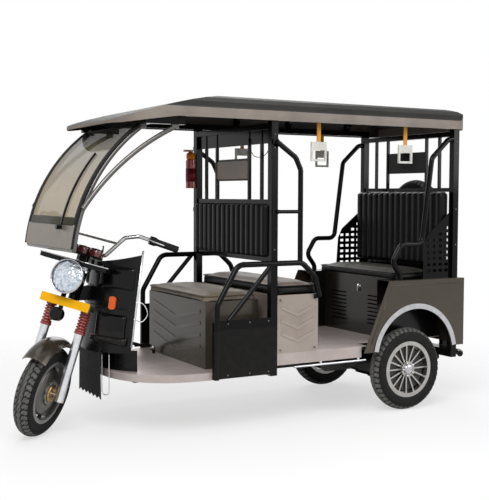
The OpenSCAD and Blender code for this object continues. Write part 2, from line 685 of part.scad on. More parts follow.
// Red springs around the fork's upper tubes.
module fork_springs() color("#8f2a24") steered() for (s = [-1, 1])
    translate([fork_offset, s * fork_half, 330]) {
    difference() {
        union() {
            cylinder(h = 14, r = 29);
            for (i = [0:6])
                translate([0, 0, 20 + i * 15.5]) rotate_extrude($fn = 36)
                    translate([22, 0]) circle(6.5, $fn = 16);
            cylinder(h = 122, r = 19);
        }
        translate([0, 0, -1]) cylinder(h = 130, r = 15);
    }
}

// The front fender with its stays to the sliders.
module front_fender() color("#18181a") steered() {
    translate([fork_offset, 0, 0]) {
        rotate([90, 0, 0]) rotate([0, 0, 34]) rotate_extrude(angle = 84, $fn = 96) difference() {
            translate([210, 0]) circle(78, $fn = 64);
            translate([210, 0]) circle(74, $fn = 64);
            translate([0, -100]) square([250, 200]);
        }
    }
    both() difference() {
        box([fork_offset - 12, 56, 246], [fork_offset + 12, fork_half, 264]);
        translate([fork_offset, 0, 0]) rotate([90, 0, 0]) cylinder(h = 300, r = 248, center = true, $fn = 96);
        translate([fork_offset, fork_half, 200]) cylinder(h = 100, r = 24);
    }
}

// The headlamp bowl on its bracket.
module headlamp() color("#151517") steered() {
    translate([60, 0, 600]) rotate([0, 90, 0]) difference() {
        union() {
            cylinder(h = 88, r1 = lamp_r - 30, r2 = lamp_r);
            translate([0, 0, 88]) cylinder(h = 10, r = lamp_r);
        }
        translate([0, 0, 84]) cylinder(h = 20, r = lamp_r - 5);
    }
    both() box([fork_offset + 10, 30, 485], [80, 38, 560]);
}

// The clear headlamp lens, a shallow dome.
module headlamp_lens() color("#dfe4ea") steered() translate([144, 0, 600]) rotate([0, 90, 0]) intersection() {
    cylinder(h = 40, r = lamp_r - 5);
    translate([0, 0, -260]) sphere(r = 280, $fn = 96);
}

// The yellow bar under the headlamp, left blank.
module number_bar() color("#f0a818") steered() {
    box([90, -140, 448], [96, 140, 494]);
    for (y = [-20, 12]) box([fork_offset + 32, y, 458], [90, y + 8, 482]);
}

// The horn below the crown.
module horn() color("#1d1d1f") steered() {
    translate([62, -30, 400]) rotate([0, 90, 0]) cylinder(h = 34, r = 36);
    translate([96, -30, 400]) rotate([0, 90, 0]) cylinder(h = 6, r1 = 36, r2 = 30);
    box([50, -40, 400], [62, -20, 455]);
}

// The handlebar with its cross brace, clamp, grips and switches.
module handlebar() color("#a9aaac") steered() {
    side = [[-8, 95, 758], [-30, 165, 880], [-42, 235, 908], [-175, bar_half, 902]];
    far = [for (i = [3:-1:0]) [side[i][0], -side[i][1], side[i][2]]];
    bent_tube(concat(far, side), 11, 24);
    grip = unit(side[3] - side[2]);
    both() {
        rod(side[3] - grip * 157, side[3] - grip * 125, 21);
        rod(side[3] - grip * 121, side[3] + grip * 4, 17);
    }
    rod([-23, -142, 840], [-23, 142, 840], 7);
    box([-18, -45, 683], [18, 45, 772]);
}

// The tray over the headlamp with its instruments, which turns with the bars.
module instrument_tray() color("#1a1416") steered() {
    difference() {
        box([84, -190, 668], [140, 190, 690]);
        box([88, -186, 660], [136, 186, 686]);
        translate([0, 0, 600]) rotate([0, 90, 0]) cylinder(h = 300, r = lamp_r + 1);
    }
    box([18, -25, 684], [90, 25, 690]);
    box([30, -105, 728], [88, 105, 738]);
    box([30, -20, 690], [38, 20, 728]);
    for (y = [-72, 0, 72]) translate([54, y, 738]) cylinder(h = 40, r = 32);
}

// The front tyre and rim on the fork.
module front_tyre() color("#1a1a1b") steered() translate([fork_offset, 0, 0]) tyre_shape();
module front_rim() color("#b9babb") steered() translate([fork_offset, 0, 0])
    rim_shape(9, 18, 62, 90);

chassis_frame();
floor_front();
floor_rear();
leg_shield();
front_reflectors();
mudflap();
driver_seat_box();
driver_seat();
side_guards();
side_rails();
mid_seat_box();
battery_pack();
mid_seat();
front_partition();
front_backrest();
rear_partition();
rear_backrest();
rear_bench_box();
rear_seat();
side_screens();
arm_tubes();
rear_body();
arch_trims();
tail_panel();
tail_lamps();
rear_bumper();
spare_tyre();
spare_rim();
roof();
roof_frame();
screen_frame();
windscreen();
screen_panel();
wiper();
grab_straps();
fire_extinguisher();
rear_axle();
motor();
leaf_springs();
step_rods();
fork();
fork_springs();
front_fender();
headlamp();
headlamp_lens();
number_bar();
horn();
handlebar();
instrument_tray();
front_tyre();
front_rim();
left_tyre();
left_rim();
right_tyre();
right_rim();
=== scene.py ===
import bpy, bmesh, json, math
from mathutils import Matrix, Vector


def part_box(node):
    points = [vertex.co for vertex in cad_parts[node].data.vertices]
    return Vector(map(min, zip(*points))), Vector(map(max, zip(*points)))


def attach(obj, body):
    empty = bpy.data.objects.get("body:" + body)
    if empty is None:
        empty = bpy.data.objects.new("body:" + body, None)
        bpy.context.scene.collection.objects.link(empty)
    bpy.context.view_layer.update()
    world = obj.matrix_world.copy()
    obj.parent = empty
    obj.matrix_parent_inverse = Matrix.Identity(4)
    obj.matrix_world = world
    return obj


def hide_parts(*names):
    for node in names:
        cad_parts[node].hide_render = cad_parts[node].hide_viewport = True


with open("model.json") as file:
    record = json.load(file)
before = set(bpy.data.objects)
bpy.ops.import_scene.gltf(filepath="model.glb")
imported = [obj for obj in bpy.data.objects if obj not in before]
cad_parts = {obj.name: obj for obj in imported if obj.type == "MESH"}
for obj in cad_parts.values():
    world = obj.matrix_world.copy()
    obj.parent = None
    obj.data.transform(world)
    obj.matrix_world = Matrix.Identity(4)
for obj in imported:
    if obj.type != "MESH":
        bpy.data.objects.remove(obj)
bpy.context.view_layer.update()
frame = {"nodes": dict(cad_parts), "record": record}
nodes = frame["nodes"]


def at(x, y, z):
    """A matrix that moves to a place."""
    return Matrix.Translation((x, y, z))


def turned(degrees, axis):
    """A matrix that turns about an axis."""
    return Matrix.Rotation(math.radians(degrees), 4, axis)


def polar(degrees):
    """The cosine and sine of an angle."""
    return math.cos(math.radians(degrees)), math.sin(math.radians(degrees))


# Sizes shared with the part's source: metres from the rear axle, angles in degrees.
TYRE_R, CROWN = 0.240, 0.050  # a tyre's outer radius and the radius of its crown
HALF_TRACK, BASE, TAIL = 0.419, 2.052, 0.465  # TAIL is what lies behind the axle
RAKE, PARKED, OFFSET = 18.2, 45.0, 0.026  # fork's rake, steering as parked, axle's offset
cos_rake, sin_rake = polar(RAKE)
cos_parked, sin_parked = polar(PARKED)
camber = math.asin(sin_parked * sin_rake)
HEAD_X = BASE - OFFSET * cos_rake
HEAD_Z = (TYRE_R - CROWN) * math.cos(camber) + CROWN - OFFSET * cos_parked * sin_rake
NOSE = (HEAD_X + OFFSET * cos_parked * cos_rake
        + (TYRE_R - CROWN) * math.sqrt(1 - (sin_parked * cos_rake) ** 2) + CROWN)
MID = (NOSE - TAIL) / 2

# Frames: the vehicle from its rear axle, and the steered parts along the fork.
CAR = at(-MID, 0, 0)
STEER = CAR @ at(HEAD_X, 0, HEAD_Z) @ turned(-RAKE, "Y") @ turned(PARKED, "Z")
AXLE = at(OFFSET, 0, 0)
SIDES = (-1, 1)


# ---------- materials ----------
def lin(r, g, b):
    """A colour written as it looks, 0 to 255, for a shader socket."""
    f = lambda c: c / 12.92 if c <= 0.04045 else ((c + 0.055) / 1.055) ** 2.4
    return (f(r / 255), f(g / 255), f(b / 255), 1)


def shade(c, k):
    """A colour made darker or lighter by a factor."""
    return (min(1, c[0] * k), min(1, c[1] * k), min(1, c[2] * k), 1)


class Mat:
    """A material under construction: a principled shader and helpers that add nodes to it."""
    def __init__(self, name, rough=0.5, metal=0.0, **sockets):
        self.m = bpy.data.materials.new(name)
        self.m.use_nodes = True
        self.t = self.m.node_tree
        self.b = self.t.nodes["Principled BSDF"]
        self.b.inputs["Roughness"].default_value = rough
        self.b.inputs["Metallic"].default_value = metal
        for k, v in sockets.items():
            self.b.inputs[k.replace("_", " ")].default_value = v
        self.co = self.t.nodes.new("ShaderNodeTexCoord").outputs["Object"]
        self.normal = None

    def node(self, kind, **props):
        n = self.t.nodes.new(kind)
        for k, v in props.items():
            setattr(n, k, v)
        return n

    def link(self, a, b):
        self.t.links.new(a, b)

    def mapped(self, scale, turn=0.0):
        """Object coordinates, scaled and turned about Z."""
        n = self.node("ShaderNodeMapping")
        n.inputs["Scale"].default_value = scale
        n.inputs["Rotation"].default_value = (0, 0, math.radians(turn))
        self.link(self.co, n.inputs["Vector"])
        return n.outputs["Vector"]

    def noise(self, scale, detail=4.0, stretch=None):
        n = self.node("ShaderNodeTexNoise")
        n.inputs["Scale"].default_value = scale
        n.inputs["Detail"].default_value = detail
        self.link(self.mapped(stretch) if stretch else self.co, n.inputs["Vector"])
        return n.outputs["Fac"]

    def voronoi(self, scale):
        n = self.node("ShaderNodeTexVoronoi", feature="F1")
        n.inputs["Scale"].default_value = scale
        self.link(self.co, n.inputs["Vector"])
        return n.outputs["Distance"]

    def ramp(self, fac, stops):
        n = self.node("ShaderNodeValToRGB")
        els = n.color_ramp.elements
        while len(els) < len(stops):
            els.new(0.5)
        for e, (p, c) in zip(els, stops):
            e.position, e.color = p, c
        self.link(fac, n.inputs["Fac"])
        return n.outputs["Color"]

    def math(self, op, a, b=None):
        n = self.node("ShaderNodeMath", operation=op)
        for i, v in enumerate((a, b)):
            if v is None:
                continue
            if isinstance(v, (int, float)):
                n.inputs[i].default_value = v
            else:
                self.link(v, n.inputs[i])
        return n.outputs[0]

    def mix(self, fac, a, b):
        n = self.node("ShaderNodeMix", data_type="RGBA")
        for sock, v in ((n.inputs[0], fac), (n.inputs[6], a), (n.inputs[7], b)):
            if isinstance(v, (tuple, int, float)):
                sock.default_value = v
            else:
                self.link(v, sock)
        return n.outputs[2]

    def spread(self, value, **ends):
        """A value carried from one range to another."""
        n = self.node("ShaderNodeMapRange")
        for k, v in ends.items():
            n.inputs[k.replace("_", " ")].default_value = v
        self.link(value, n.inputs["Value"])
        return n.outputs["Result"]

    def axis(self, which):
        """Object coordinate 0, 1 or 2."""
        n = self.node("ShaderNodeSeparateXYZ")
        self.link(self.co, n.inputs[0])
        return n.outputs[which]

    def face(self, which):
        """Part 0, 1 or 2 of the face's normal."""
        g = self.node("ShaderNodeNewGeometry")
        n = self.node("ShaderNodeSeparateXYZ")
        self.link(g.outputs["True Normal"], n.inputs[0])
        return n.outputs[which]

    def wear_and_highlight(self):
        """1 on sharp edges, 0 elsewhere."""
        g = self.node("ShaderNodeNewGeometry")
        return self.spread(g.outputs["Pointiness"], From_Min=0.52, From_Max=0.6)

    def color(self, src):
        self.link(src, self.b.inputs["Base Color"])
        return self

    def rough(self, fac, lo, hi):
        self.link(self.spread(fac, To_Min=lo, To_Max=hi), self.b.inputs["Roughness"])
        return self

    def bump(self, height, dist, strength=1.0):
        n = self.node("ShaderNodeBump")
        n.inputs["Strength"].default_value = strength
        n.inputs["Distance"].default_value = dist
        self.link(height, n.inputs["Height"])
        if self.normal:
            self.link(self.normal, n.inputs["Normal"])
        self.normal = n.outputs["Normal"]
        self.link(self.normal, self.b.inputs["Normal"])
        return self


def paint(name, c, rough=0.3, coat=0.5, dust=0.12, wear=None, metal=0.0, gloss=0.5, inner=None):
    """Sprayed paint: slight clouding, orange-peel, dust low down and lighter worn edges.

    Inside the half width `inner` it is black.
    """
    dust_top, dust_colour, inner_black = 0.55, lin(150, 140, 128), lin(14, 14, 14)
    m = Mat(name, rough, metal, Coat_Weight=coat, Coat_Roughness=0.08, Specular_IOR_Level=gloss)
    cloud = m.noise(9.0)
    base = m.ramp(cloud, [(0.3, shade(c, 0.86)), (0.7, shade(c, 1.12))])
    low = m.math("MULTIPLY", m.math("LESS_THAN", m.axis(2), dust_top), m.noise(28.0))
    base = m.mix(m.math("MULTIPLY", low, dust), base, dust_colour)
    if wear:
        base = m.mix(m.math("MULTIPLY", m.wear_and_highlight(), 0.5), base, wear)
    if inner:
        is_inner = m.math("LESS_THAN", m.math("ABSOLUTE", m.axis(1)), inner)
        base = m.mix(is_inner, base, inner_black)
    m.color(base).rough(m.noise(24.0), rough * 0.92, rough * 1.12)
    m.bump(m.noise(420.0, 2.0), 0.0002, 0.08)
    return m.m


def vinyl(name, c, grain=520.0, rough=0.5):
    """Upholstery vinyl: pebbled grain, soft creases and a faint sheen."""
    m = Mat(name, rough, Sheen_Weight=0.02, Sheen_Roughness=0.4, Specular_IOR_Level=0.14)
    m.color(m.ramp(m.noise(14.0), [(0.3, shade(c, 0.82)), (0.72, shade(c, 1.14))]))
    m.rough(m.noise(35.0), rough * 0.85, rough * 1.2)
    m.bump(m.noise(11.0, 5.0), 0.003, 0.4)
    m.bump(m.voronoi(grain), 0.0006, 0.5)
    return m.m


def plastic(name, c, rough):
    """Moulded plastic or rubber with a fine grain."""
    m = Mat(name, rough, Specular_IOR_Level=0.2)
    m.color(m.ramp(m.noise(20.0), [(0.3, shade(c, 0.85)), (0.7, shade(c, 1.15))]))
    m.rough(m.noise(40.0), rough * 0.8, rough * 1.3)
    m.bump(m.noise(300.0, 2.0), 0.0003, 0.3)
    return m.m


def metal(name, c, rough):
    """Bare metal with a faintly uneven polish."""
    m = Mat(name, rough, 1.0)
    m.color(m.ramp(m.noise(30.0), [(0.3, shade(c, 0.88)), (0.7, shade(c, 1.08))]))
    m.rough(m.noise(40.0, 3.0), rough * 0.8, rough * 1.25)
    m.bump(m.noise(180.0, 2.0), 0.0002, 0.1)
    return m.m


def pressed(name, c):
    """Painted sheet with raised lozenges, as on a floor plate, only where a face looks up."""
    m = Mat(name, 0.42, 0.25, Coat_Weight=0.15)
    up = m.math("GREATER_THAN", m.face(2), 0.8)
    lozenge = m.node("ShaderNodeTexChecker")
    lozenge.inputs["Scale"].default_value = 1.0
    m.link(m.mapped((60, 60, 60), 45), lozenge.inputs["Vector"])
    base = m.ramp(m.noise(7.0), [(0.3, shade(c, 0.86)), (0.7, shade(c, 1.08))])
    base = m.mix(m.math("MULTIPLY", m.noise(45.0), 0.22), base, lin(110, 100, 95))
    m.color(base).rough(m.noise(50.0), 0.34, 0.55)
    m.bump(m.math("MULTIPLY", lozenge.outputs["Fac"], up), 0.0016, 0.6)
    m.bump(m.noise(300.0, 2.0), 0.0003, 0.2)
    return m.m


def roof_mat():
    """The roof: dark crown, lighter band along its edge and a grey inner wall."""
    m = Mat("roof_skin", 0.5, Specular_IOR_Level=0.12)
    flat = m.math("ABSOLUTE", m.face(2))
    top = m.ramp(m.noise(5.0), [(0.3, lin(30, 30, 29)), (0.7, lin(42, 41, 39))])
    band = m.ramp(m.noise(6.0), [(0.3, lin(122, 114, 107)), (0.7, lin(140, 131, 123))])
    inner = m.ramp(m.noise(6.0), [(0.3, lin(64, 60, 57)), (0.7, lin(80, 75, 71))])
    out = m.mix(m.math("LESS_THAN", flat, 0.4), top, band)
    looks_down = m.math("LESS_THAN", m.face(2), -0.3)
    looks_in = m.math("LESS_THAN", m.math("MULTIPLY", m.axis(1), m.face(1)), -0.05)
    is_in = m.math("MAXIMUM", looks_down, looks_in)
    m.color(m.mix(is_in, out, inner)).rough(m.noise(70.0), 0.42, 0.6)
    m.bump(m.noise(240.0, 2.0), 0.0005, 0.25)
    return m.m


def lamp_mat(name, c, rough, grain):
    """The coloured lens of a lamp or reflector, with a cellular surface."""
    m = Mat(name, rough, IOR=1.46)
    m.color(m.ramp(m.noise(3.0), [(0.3, shade(c, 0.95)), (0.7, c)]))
    m.rough(m.noise(25.0), rough * 0.6, rough * 2.2)
    m.bump(m.voronoi(grain), 0.002, 0.5)
    return m.m


def screen_mat():
    """The tinted windscreen: warm low down, greyer and darker near the roof as painted shade,
    with faint streaks.
    """
    m = Mat("screen_clear", 0.05, IOR=1.46, Specular_IOR_Level=0.4, Alpha=0.68)
    # Painted shade: the colour turns darker and greyer towards the roof.
    rise = m.spread(m.axis(2), From_Min=1.22, From_Max=1.58)
    uneven = m.math("SUBTRACT", m.noise(3.0, 5.0, (1, 6, 1)), 0.5)
    tint_and_shade = m.math("ADD", rise, m.math("MULTIPLY", uneven, 0.5))
    m.color(m.ramp(tint_and_shade, [(0.1, lin(170, 150, 112)), (0.9, lin(96, 92, 78))]))
    m.rough(m.noise(25.0), 0.03, 0.1)
    return m.m


def tyre_mat():
    """Tyre rubber, paler where the mesh marks the raised tread's top: a painted highlight."""
    m = Mat("tyre_rubber", 0.75, Specular_IOR_Level=0.2)
    # The marked tread tops take the pale colour, a painted highlight on the raised tread.
    wear_and_highlight = m.node("ShaderNodeAttribute", attribute_name="wear_and_highlight")
    dark = m.ramp(m.noise(40.0), [(0.3, lin(12, 12, 13)), (0.7, lin(24, 24, 23))])
    pale = m.ramp(m.noise(90.0), [(0.3, lin(70, 70, 69)), (0.75, lin(112, 111, 108))])
    m.color(m.mix(wear_and_highlight.outputs["Fac"], dark, pale))
    m.rough(m.noise(60.0), 0.6, 0.9)
    m.bump(m.noise(500.0, 2.0), 0.0005, 0.4)
    return m.m


def strap_mat():
    """Woven yellow webbing above, and the pale hand loop below it."""
    loop_top = 1.541
    m = Mat("strap_webbing", 0.7)
    weave = m.node("ShaderNodeTexWave")
    weave.inputs["Scale"].default_value = 160.0
    m.link(m.co, weave.inputs["Vector"])
    web = m.ramp(weave.outputs["Fac"], [(0.2, lin(196, 128, 26)), (0.8, lin(232, 168, 48))])
    loop = m.ramp(m.noise(30.0), [(0.3, lin(196, 194, 186)), (0.7, lin(222, 220, 214))])
    m.color(m.mix(m.math("LESS_THAN", m.axis(2), loop_top), web, loop))
    m.rough(m.noise(50.0), 0.4, 0.7)
    m.bump(weave.outputs["Fac"], 0.0006, 0.4)
    return m.m


def lens_mat():
    """The moulded headlamp lens over a bright reflector."""
    m = Mat("lamp_lens", 0.12, 0.55, Coat_Weight=1.0, Coat_Roughness=0.02)
    m.color(m.ramp(m.voronoi(70.0), [(0.0, lin(244, 247, 252)), (0.6, lin(196, 206, 220)),
                                     (1.0, lin(150, 160, 176))]))
    m.rough(m.noise(80.0), 0.06, 0.22)
    m.bump(m.voronoi(64.0), 0.004, 0.7)
    return m.m


BODY = dict(c=lin(48, 43, 34), rough=0.24, coat=0.12, dust=0.04, wear=lin(90, 84, 74),
            metal=0.25, gloss=0.25)
PLAIN = dict(coat=0.0, dust=0.0)
M = {
    "black_steel": paint("black_steel", lin(5, 5, 6), 0.14, coat=0.0, dust=0.03, gloss=0.14),
    "floor_metal": pressed("floor_metal", lin(178, 166, 162)),
    "black_plastic": plastic("black_plastic", lin(12, 12, 13), 0.26),
    "gloss_black": paint("gloss_black", lin(6, 6, 7), 0.2, coat=0.0, dust=0.03, gloss=0.2),
    "reflector_orange": lamp_mat("reflector_orange", lin(224, 92, 30), 0.12, 260.0),
    "rubber": plastic("rubber", lin(27, 27, 28), 0.7),
    "vinyl_grey": vinyl("vinyl_grey", lin(112, 102, 90)),
    "vinyl_black": vinyl("vinyl_black", lin(7, 7, 8), 480.0, 0.36),
    "vinyl_tan": vinyl("vinyl_tan", lin(122, 108, 96)),
    "vinyl_dark": vinyl("vinyl_dark", lin(56, 54, 48)),
    "battery_case": plastic("battery_case", lin(40, 41, 45), 0.6),
    "body_paint": paint("body_paint", **BODY),
    "body_side": paint("body_side", inner=0.445, **BODY),
    "mid_box": paint("mid_box", lin(146, 134, 126), 0.38, coat=0.1, dust=0.05,
                     wear=lin(170, 160, 152), metal=0.2, gloss=0.3),
    "seal": plastic("seal", lin(52, 48, 38), 0.5),
    "valve": paint("valve", lin(228, 132, 22), 0.3, gloss=0.3, **PLAIN),
    "label_red": paint("label_red", lin(128, 30, 46), 0.4, gloss=0.2, **PLAIN),
    "box_dark": paint("box_dark", lin(24, 22, 18), 0.24, coat=0.1, dust=0.03,
                      wear=lin(50, 46, 40), metal=0.1, gloss=0.25),
    "chrome_trim": metal("chrome_trim", lin(188, 188, 190), 0.1),
    "lamp_red": lamp_mat("lamp_red", lin(170, 24, 22), 0.1, 220.0),
    "tyre": tyre_mat(),
    "alloy": metal("alloy", lin(172, 170, 166), 0.26),
    "roof_skin": roof_mat(),
    "screen_tube": paint("screen_tube", lin(92, 90, 87), 0.3, coat=0.2, dust=0.1, metal=0.6),
    "screen_clear": screen_mat(),
    "panel_grey": paint("panel_grey", lin(104, 93, 82), 0.35, coat=0.1, dust=0.1,
                        wear=lin(140, 130, 120), metal=0.2, gloss=0.3),
    "strap_yellow": strap_mat(),
    "red_paint": paint("red_paint", lin(176, 34, 30), 0.25, coat=0.7, dust=0.0),
    "dark_iron": paint("dark_iron", lin(30, 30, 32), 0.6, coat=0.0, dust=0.1,
                       wear=lin(80, 78, 76)),
    "bright_steel": metal("bright_steel", lin(212, 213, 216), 0.3),
    "spring_red": paint("spring_red", lin(134, 40, 34), 0.3, coat=0.4, dust=0.1),
    "lens": lens_mat(),
    "bar_yellow": paint("bar_yellow", lin(255, 184, 10), 0.32, gloss=0.2, **PLAIN),
    "gauge_red": paint("gauge_red", lin(96, 26, 34), 0.2, coat=0.8, dust=0.0),
    "dark_rim": paint("dark_rim", lin(34, 34, 36), 0.35, coat=0.4, dust=0.2,
                      wear=lin(150, 150, 150)),
    "brake_gold": metal("brake_gold", lin(176, 142, 84), 0.35),
}
slot_of = {s["node"]: s["material_slot"] for s in frame["record"]["subparts"]}
# Nodes that look different from the rest of their slot.
own_look = {"front_rim": "dark_rim", "rear_bench_box": "box_dark",
            "rear_body": "body_side", "mid_seat_box": "mid_box"}
for name, obj in nodes.items():
    obj.data.materials.clear()
    obj.data.materials.append(M[own_look.get(name, slot_of[name])])


# ---------- mesh helpers ----------
def put(name, verts, faces, mat, body, matrix=None, smooth=True, replaces=(), slot=None):
    """Makes a piece from points in metres, places it and lets it ride on a body."""
    me = bpy.data.meshes.new(name)
    me.from_pydata([tuple((matrix @ Vector(v)) if matrix else v) for v in verts], [], faces)
    me.update()
    bm = bmesh.new()
    bm.from_mesh(me)
    bmesh.ops.remove_doubles(bm, verts=bm.verts, dist=1e-6)
    bmesh.ops.recalc_face_normals(bm, faces=bm.faces)
    bm.to_mesh(me)
    bm.free()
    if smooth:
        me.polygons.foreach_set("use_smooth", [True] * len(me.polygons))
    ob = bpy.data.objects.new(name, me)
    bpy.context.scene.collection.objects.link(ob)
    me.materials.append(M[mat])
    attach(ob, body)
    if replaces:
        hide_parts(*replaces)
    return ob


def strips_between(rows, around=True):
    """Faces between rows of point numbers, each row closed to a ring or left open."""
    faces = []
    for a, b in zip(rows, rows[1:]):
        n = len(a)
        for i in range(n if around else n - 1):
            j = (i + 1) % n
            faces.append((a[i], a[j], b[j], b[i]))
    return faces


def flipped(faces):
    """Four-sided faces that look the other way."""
    return [(a, d, c, b) for a, b, c, d in faces]


def numbered(count, size, first=0):
    """Rows of point numbers for points that were added row by row."""
    return [list(range(first + i * size, first + (i + 1) * size)) for i in range(count)]


def lathe(profile, n, closed=True):
    """Points and faces of a profile of (radius, along) turned about Y."""
    verts, k = [], len(profile)
    for i in range(n):
        c, s = math.cos(2 * math.pi * i / n), math.sin(2 * math.pi * i / n)
        verts += [(r * c, w, r * s) for r, w in profile]
    rows = numbered(n, k)
    return verts, strips_between(rows + rows[:1], closed)


def tube(points, r, n=10, close=False):
    """A round tube along points, with flat ends unless it closes on itself."""
    pts = [Vector(p) for p in points]
    verts, up, m = [], Vector((0.0, 0.0, 1.0)), len(pts)
    for i, p in enumerate(pts):
        ahead, behind = (i + 1, i - 1) if close else (min(i + 1, m - 1), max(i - 1, 0))
        d = (pts[ahead % m] - pts[behind % m]).normalized()
        side = d.cross(up)
        if side.length < 0.05:
            side = d.cross(Vector((0.0, 1.0, 0.0)))
        side.normalize()
        top = side.cross(d).normalized()
        for k in range(n):
            turn = 2 * math.pi * k / n
            verts.append(tuple(p + (side * math.cos(turn) + top * math.sin(turn)) * r))
    rows = numbered(m, n)
    if close:
        return verts, strips_between(rows + rows[:1])
    return verts, strips_between(rows) + [tuple(rows[0][::-1]), tuple(rows[-1])]


def join(parts):
    """Several (points, faces) as one."""
    verts, faces = [], []
    for v, f in parts:
        k = len(verts)
        verts += v
        faces += [tuple(i + k for i in q) for q in f]
    return verts, faces


def move(part, matrix):
    """(points, faces) with the points placed by a matrix."""
    return [tuple(matrix @ Vector(v)) for v in part[0]], part[1]


def smooth_path(points, steps=8):
    """A rounded path through points."""
    p = [Vector(points[0])] + [Vector(q) for q in points] + [Vector(points[-1])]
    out = []
    for a, b, c, d in zip(p, p[1:], p[2:], p[3:]):
        for k in range(steps):
            t = k / steps
            out.append(0.5 * (2 * b + (c - a) * t + (2 * a - 5 * b + 4 * c - d) * t ** 2
                              + (3 * b - a - 3 * c + d) * t ** 3))
    return out + [p[-2]]


# ---------- tyres ----------
BLOCKS, CUT = 44, 0.0055  # tread blocks round a tyre and the depth between them
SIDEWALL = [(0.199, 0.0462), (0.186, 0.0458), (0.174, 0.0443), (0.164, 0.0405),
            (0.157, 0.036), (0.1525, 0.031), (0.1525, 0.024)]


def tread_depth(turn, w):
    """How far the tread is cut at a place round the tyre (0 to 1) and across it, in metres."""
    groove, swing, groove_half = 0.0125, 0.0035, 0.0030
    lug_from, lug_to, lug_end, lug_fade = 0.019, 0.044, 0.046, 0.006
    slant_from, slant, gap = 0.016, 10, 0.27
    a = abs(w)
    zig = abs(((turn * BLOCKS) % 1) - 0.5) * 4 - 1
    if abs(a - groove - swing * zig) < groove_half:
        return CUT
    if lug_from < a < lug_to:
        lane = (turn * BLOCKS + (0.0 if w > 0 else 0.5) + (a - slant_from) * slant) % 1
        if lane < gap:
            return CUT * min(1, (lug_end - a) / lug_fade)
    return 0.0


def tyre(name, matrix, body, node):
    """A tyre with cut tread, turned about Y."""
    around, across, crown_half, highlight_half = 264, 45, 66.9, 0.040
    prof = [(r, -w, False) for r, w in SIDEWALL[::-1]]
    for i in range(across):
        c, s = polar(-crown_half + 2 * crown_half * i / (across - 1))
        prof.append((TYRE_R - CROWN + CROWN * c, CROWN * s, True))
    prof += [(r, w, False) for r, w in SIDEWALL]
    verts, wear_and_highlight = [], []
    for i in range(around):
        t = i / around
        c, s = math.cos(2 * math.pi * t), math.sin(2 * math.pi * t)
        for r, w, tread in prof:
            cut = tread_depth(t, w) if tread else 0
            verts.append(((r - cut) * c, w, (r - cut) * s))
            # Uncut tread tops near the middle are marked for the painted highlight.
            wear_and_highlight.append(1.0 if tread and not cut and abs(w) < highlight_half else 0.0)
    rows = numbered(around, len(prof))
    faces = strips_between(rows + rows[:1], False)
    ob = put(name, verts, faces, "tyre", body, matrix, True, (node,), "tyre")
    ob.data.attributes.new("wear_and_highlight", "FLOAT", "POINT").data.foreach_set("value", wear_and_highlight)
    ob.data.set_sharp_from_angle(angle=math.radians(40))


LEFT_HUB, RIGHT_HUB = (CAR @ at(0, s * HALF_TRACK, TYRE_R) for s in (1, -1))
SPARE = CAR @ at(-0.416, 0, 1.11) @ turned(90, "Z")
tyre("front_tread", STEER @ AXLE, "front_wheel", "front_tyre")
tyre("left_tread", LEFT_HUB, "left_wheel", "left_tyre")
tyre("right_tread", RIGHT_HUB, "right_wheel", "right_tyre")
tyre("spare_tread", SPARE, "chassis", "spare_tyre")


# ---------- wheel details ----------
def nuts(radius, count, along, r=0.008, h=0.012):
    """Wheel nuts on a circle about Y."""
    parts, nut = [], [(r * 0.98, 0), (r, h * 0.7), (r * 0.6, h), (0.0005, h)]
    for i in range(count):
        c, s = math.cos(2 * math.pi * i / count), math.sin(2 * math.pi * i / count)
        parts.append(move(lathe(nut, 6, False), at(radius * c, along, radius * s)))
    return parts


hub_cap = lathe([(0.030, 0.034), (0.030, 0.042), (0.026, 0.047), (0.012, 0.050),
                 (0.0005, 0.0505)], 40, False)
# A brake drum behind the rear spokes, kept dark as painted shade for the pockets between them.
rear_drum_shade = lathe([(0.047, -0.012), (0.136, -0.012), (0.136, 0.002), (0.128, 0.005),
                   (0.060, 0.005), (0.047, 0.003)], 64)
for side, hub, y in (("left", LEFT_HUB, 1), ("right", RIGHT_HUB, -1)):
    place, body = hub @ Matrix.Scale(y, 4, (0, 1, 0)), side + "_wheel"
    put(side + "_cap", *join([hub_cap] + nuts(0.038, 5, 0.035)), "chrome_trim", body, place,
        True, (), "chrome_trim")
    put(side + "_drum", *rear_drum_shade, "dark_iron", body, place)
front_drum = lathe([(0.063, -0.004), (0.118, -0.004), (0.122, 0.004), (0.122, 0.020),
                    (0.112, 0.030), (0.070, 0.036), (0.063, 0.036)], 56)
front_plate = lathe([(0.0125, 0.0465), (0.046, 0.0465), (0.046, 0.050), (0.034, 0.054),
                     (0.0125, 0.055)], 40)


# ---------- cushions ----------
def inflate(ob, pressure, cap, frames=20):
    """Swells a closed mesh with the cloth solver, each point within a cap of where it began."""
    start = [v.co.copy() for v in ob.data.vertices]
    mod = ob.modifiers.new("swell", "CLOTH")
    mod.settings.use_pressure = True
    mod.settings.uniform_pressure_force = pressure
    mod.settings.effector_weights.gravity = 0
    mod.point_cache.frame_end = frames
    for f in range(1, frames + 1):
        bpy.context.scene.frame_set(f)
    ev = ob.evaluated_get(bpy.context.evaluated_depsgraph_get())
    got = [v.co.copy() for v in ev.data.vertices]
    ob.modifiers.remove(mod)
    bpy.context.scene.frame_set(1)
    for v, a, b in zip(ob.data.vertices, start, got):
        d = b - a
        if d.length > cap:
            d *= cap / d.length
        v.co = a + d


